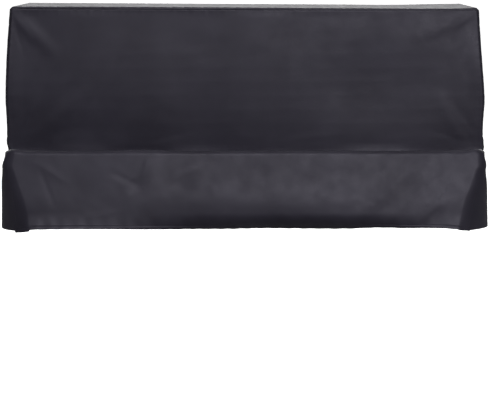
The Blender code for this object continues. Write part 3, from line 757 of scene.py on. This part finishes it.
# ---------------------------------------------------------------- Stitches
# Black waxed thread, lock stitched about 6 mm beside each seam through its turned-in
# edges, and along the top of the hems. Each stitch lies a little sunk in the cloth.
STITCH_PITCH, STITCH_LENGTH, THREAD = 0.0045, 0.0034, 0.0008
STITCH_IN = 0.006
STITCH_SEED = 7
STITCH_SHORTEST, STITCH_LONGEST = 0.92, 1.06
SIDE_HEM_PLACES, SIDE_HEM_CLEAR = 300, 0.004


def across_line(points, outward, lengths, place):
    """A line of stitches across a panel, at one length along its outline."""
    k = int(np.clip(np.searchsorted(lengths, place), 1, len(lengths) - 1))
    t = (place - lengths[k - 1]) / (lengths[k] - lengths[k - 1])
    return points[k - 1] * (1 - t) + points[k] * t, unit(outward[k - 1] * (1 - t) + outward[k] * t)


def seam_line(points, outward, away):
    """A line of stitches along the first column of a panel, the given distance in from it."""
    run = np.cumsum(np.linalg.norm(np.diff(points, axis=1), axis=2), axis=1)
    k = np.argmax(run >= away, axis=1)
    rows = np.arange(len(points))
    before = np.where(k > 0, run[rows, k - 1], 0.0)
    t = ((away - before) / (run[rows, k] - before))[:, None]
    line = points[rows, k] * (1 - t) + points[rows, k + 1] * t
    return line, unit(outward[rows, k] * (1 - t) + outward[rows, k + 1] * t)


hem_line = HEM_WIDTH - HEM_STITCH_DROP
stitch_lines = [
    across_line(lower_points, lower_out, lower_s, hem_line),
    across_line(lower_points, lower_out, lower_s, MARK["crease"] - STITCH_IN),
    across_line(top_points, top_out, top_s, MARK["front_edge"] + STITCH_IN),
    across_line(top_points, top_out, top_s, MARK["back_edge"] - STITCH_IN),
    across_line(back_points, back_out, back_s, LENGTH - hem_line),
]
for points, outward in ((lower_points, lower_out), (upper_points, upper_out),
                        (top_points, top_out), (back_points, back_out)):
    stitch_lines.append(seam_line(points, outward, STITCH_IN))
    stitch_lines.append(seam_line(points[:, ::-1], outward[:, ::-1], STITCH_IN))
for side in (-1, 1):
    front, back = seam_ends[side]
    hem_y = np.linspace(front + SIDE_HEM_CLEAR, back - SIDE_HEM_CLEAR, SIDE_HEM_PLACES)
    stitch_lines.append(side_surface(side, hem_y, np.full(SIDE_HEM_PLACES, HEM_Z + hem_line)))

path_points = np.concatenate([line for line, _ in stitch_lines])
path_outward = np.concatenate([outward for _, outward in stitch_lines])
path_edges, start = [], 0
for line, _ in stitch_lines:
    path_edges += [(start + k, start + k + 1) for k in range(len(line) - 1)]
    start += len(line)
path_mesh = bpy.data.meshes.new("seam_stitches")
path_mesh.from_pydata(path_points.tolist(), path_edges, [])
outward_data = path_mesh.attributes.new("outward", "FLOAT_VECTOR", "POINT").data
outward_data.foreach_set("vector", path_outward.ravel())
stitches = bpy.data.objects.new("seam_stitches", path_mesh)
bpy.context.scene.collection.objects.link(stitches)

thread = bpy.data.materials.new("black_waxed_thread")
thread.use_nodes = True
nodes, links = thread.node_tree.nodes, thread.node_tree.links
wax = nodes["Principled BSDF"]
wax.inputs["Roughness"].default_value = 0.5
wax.inputs["Specular IOR Level"].default_value = 0.4
place = nodes.new("ShaderNodeTexCoord")
ply = nodes.new("ShaderNodeTexWave")
ply.bands_direction = "DIAGONAL"
ply.inputs["Scale"].default_value = 900.0
links.new(place.outputs["Object"], ply.inputs["Vector"])
shade = nodes.new("ShaderNodeMix")
shade.data_type = "RGBA"
shade.inputs["A"].default_value = (0.012, 0.011, 0.015, 1.0)
shade.inputs["B"].default_value = (0.034, 0.031, 0.042, 1.0)
links.new(ply.outputs["Fac"], shade.inputs["Factor"])
links.new(shade.outputs["Result"], wax.inputs["Base Color"])
twist = nodes.new("ShaderNodeBump")
twist.inputs["Strength"].default_value = 0.5
twist.inputs["Distance"].default_value = 0.0002
links.new(ply.outputs["Fac"], twist.inputs["Height"])
links.new(twist.outputs["Normal"], wax.inputs["Normal"])

tree = bpy.data.node_groups.new("lock_stitches", "GeometryNodeTree")
made = []
tree.interface.new_socket("Geometry", in_out="INPUT", socket_type="NodeSocketGeometry")
for name, kind, value in (
    ("Pitch", "NodeSocketFloat", STITCH_PITCH),
    ("Length", "NodeSocketFloat", STITCH_LENGTH),
    ("Thread", "NodeSocketFloat", THREAD),
    ("Seed", "NodeSocketInt", STITCH_SEED),
    ("Material", "NodeSocketMaterial", thread),
):
    socket = tree.interface.new_socket(name, in_out="INPUT", socket_type=kind)
    made.append((socket.identifier, value))
tree.interface.new_socket("Geometry", in_out="OUTPUT", socket_type="NodeSocketGeometry")


def tree_node(kind, **settings):
    node = tree.nodes.new(kind)
    for key, value in settings.items():
        setattr(node, key, value)
    return node


given, result = tree_node("NodeGroupInput"), tree_node("NodeGroupOutput")
to_curve = tree_node("GeometryNodeMeshToCurve")
resample = tree_node("GeometryNodeResampleCurve", mode="LENGTH")
tangent = tree_node("GeometryNodeInputTangent")
facing = tree_node("GeometryNodeInputNamedAttribute", data_type="FLOAT_VECTOR")
facing.inputs["Name"].default_value = "outward"
lie = tree_node("FunctionNodeAlignRotationToVector", axis="X")
face = tree_node("FunctionNodeAlignRotationToVector", axis="Z", pivot_axis="X")
bead = tree_node("GeometryNodeMeshUVSphere")
bead.inputs["Segments"].default_value = 6
bead.inputs["Rings"].default_value = 4
bead.inputs["Radius"].default_value = 0.5
size = tree_node("ShaderNodeCombineXYZ")
uneven = tree_node("FunctionNodeRandomValue", data_type="FLOAT")
uneven.inputs[2].default_value = STITCH_SHORTEST
uneven.inputs[3].default_value = STITCH_LONGEST
stretch = tree_node("ShaderNodeMath", operation="MULTIPLY")
set_down = tree_node("GeometryNodeInstanceOnPoints")
realize, finish = tree_node("GeometryNodeRealizeInstances"), tree_node("GeometryNodeSetMaterial")
join = tree.links.new
join(given.outputs["Geometry"], to_curve.inputs["Mesh"])
join(to_curve.outputs["Curve"], resample.inputs["Curve"])
join(given.outputs["Pitch"], resample.inputs["Length"])
join(tangent.outputs["Tangent"], lie.inputs["Vector"])
join(lie.outputs["Rotation"], face.inputs["Rotation"])
join(facing.outputs["Attribute"], face.inputs["Vector"])
join(given.outputs["Seed"], uneven.inputs["Seed"])
join(given.outputs["Length"], stretch.inputs[0])
join(uneven.outputs[1], stretch.inputs[1])
join(stretch.outputs["Value"], size.inputs["X"])
join(given.outputs["Thread"], size.inputs["Y"])
join(given.outputs["Thread"], size.inputs["Z"])
join(resample.outputs["Curve"], set_down.inputs["Points"])
join(bead.outputs["Mesh"], set_down.inputs["Instance"])
join(face.outputs["Rotation"], set_down.inputs["Rotation"])
join(size.outputs["Vector"], set_down.inputs["Scale"])
join(set_down.outputs["Instances"], realize.inputs["Geometry"])
join(realize.outputs["Geometry"], finish.inputs["Geometry"])
join(given.outputs["Material"], finish.inputs["Material"])
join(finish.outputs["Geometry"], result.inputs["Geometry"])
sewing = stitches.modifiers.new("sewing", "NODES")
sewing.node_group = tree
for identifier, value in made:
    sewing[identifier] = value
bpy.context.view_layer.update()
sewn = bpy.data.meshes.new_from_object(stitches.evaluated_get(bpy.context.evaluated_depsgraph_get()))
stitches.modifiers.remove(sewing)
stitches.data = sewn
sewn.shade_smooth()
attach(stitches, "root")

# ---------------------------------------------------------------- Floor and light
# The cover is shown at the height at which the piano holds it, over a plain pale floor,
# in soft studio light from the front and above, with a bright background.
FLOOR_Z = -1.235
FLOOR_REACH, FLOOR_FRONT, FLOOR_BACK = 16.0, -8.0, 40.0
PAPER_DIM_Y, PAPER_PALE_Y = -0.9, 0.1
PAPER_DIM, PAPER_PALE = 0.05, 0.60
BACKDROP_SPAN, BACKDROP_GLOW = (0.88, 0.96), (0.05, 2.4)
HORIZON_SPAN, HORIZON_GLOW = (0.0, 0.2), (0.2, 0.0)
floor_corners = [(-FLOOR_REACH, FLOOR_FRONT), (FLOOR_REACH, FLOOR_FRONT),
                 (FLOOR_REACH, FLOOR_BACK), (-FLOOR_REACH, FLOOR_BACK)]
floor_mesh = bpy.data.meshes.new("floor")
floor_mesh.from_pydata([(x, y, FLOOR_Z) for x, y in floor_corners], [], [(0, 1, 2, 3)])
floor = bpy.data.objects.new("floor", floor_mesh)
bpy.context.scene.collection.objects.link(floor)
paper = bpy.data.materials.new("pale_studio_paper")
paper.use_nodes = True
nodes, links = paper.node_tree.nodes, paper.node_tree.links
sheen = nodes["Principled BSDF"]
sheen.inputs["Roughness"].default_value = 0.9
sheen.inputs["Emission Color"].default_value = (1.0, 1.0, 1.0, 1.0)
place, axes = nodes.new("ShaderNodeTexCoord"), nodes.new("ShaderNodeSeparateXYZ")
links.new(place.outputs["Object"], axes.inputs["Vector"])

# The paper is plain white to look at. Where it lights and mirrors in the cloth it is dimmer, a painted
# shade that darkens the cloth's light and reflections: dark in front of the cover, and pale under it
# and behind it.
dimmer = map_range(nodes, (PAPER_DIM_Y, PAPER_PALE_Y), (PAPER_DIM, PAPER_PALE), "SMOOTHSTEP")
looked_at = nodes.new("ShaderNodeLightPath")
links.new(axes.outputs["Y"], dimmer.inputs["Value"])
links.new(dimmer.outputs["Result"], sheen.inputs["Base Color"])
links.new(looked_at.outputs["Is Camera Ray"], sheen.inputs["Emission Strength"])
floor.data.materials.append(paper)

# The sky is white to look at too. It lights the cloth from a bright patch far behind the
# cover and, more faintly, from the horizon down.
world = bpy.data.worlds.new("studio")
bpy.context.scene.world = world
world.use_nodes = True
sky, sky_links = world.node_tree.nodes, world.node_tree.links
direction, parts = sky.new("ShaderNodeTexCoord"), sky.new("ShaderNodeSeparateXYZ")
backdrop = map_range(sky, BACKDROP_SPAN, BACKDROP_GLOW, "SMOOTHSTEP")
horizon = map_range(sky, HORIZON_SPAN, HORIZON_GLOW, "SMOOTHSTEP")
glow = sky.new("ShaderNodeMath")
glow.operation = "MAXIMUM"
sky_links.new(direction.outputs["Generated"], parts.inputs["Vector"])
sky_links.new(parts.outputs["Y"], backdrop.inputs["Value"])
sky_links.new(parts.outputs["Z"], horizon.inputs["Value"])
sky_links.new(backdrop.outputs["Result"], glow.inputs[0])
sky_links.new(horizon.outputs["Result"], glow.inputs[1])
seen_sky, sky_looked_at = sky.new("ShaderNodeMath"), sky.new("ShaderNodeLightPath")
seen_sky.operation = "MAXIMUM"
sky_links.new(glow.outputs["Value"], seen_sky.inputs[0])
sky_links.new(sky_looked_at.outputs["Is Camera Ray"], seen_sky.inputs[1])
sky_links.new(seen_sky.outputs["Value"], sky["Background"].inputs["Color"])
sky["Background"].inputs["Strength"].default_value = 1.0
bpy.context.scene.view_settings.view_transform = "Standard"

for name, width, height, power, stand, aim in (
    ("front_softbox", 2.5, 1.2, 56.0, (0.0, -4.5, 1.9), (0.0, 0.0, -0.3)),
    ("high_softbox", 2.5, 1.2, 75.0, (0.0, -3.6, 3.0), (0.0, 0.0, -0.3)),
    ("low_softbox", 1.2, 0.8, 62.0, (1.8, -4.6, 0.5), (0.3, 0.0, -0.3)),
    ("backdrop_light", 7.0, 4.0, 160.0, (0.0, 3.0, 3.6), (0.0, 3.0, -1.2)),
    ("back_softbox", 2.6, 0.8, 70.0, (0.0, 3.6, -0.75), (0.0, 0.0, -0.35)),
):
    softbox = bpy.data.lights.new(name, "AREA")
    softbox.shape = "RECTANGLE"
    softbox.size, softbox.size_y, softbox.energy = width, height, power
    softbox_stand = bpy.data.objects.new(name, softbox)
    softbox_stand.location = stand
    softbox_stand.rotation_euler = (Vector(aim) - Vector(stand)).to_track_quat("-Z", "Y").to_euler()
    bpy.context.scene.collection.objects.link(softbox_stand)
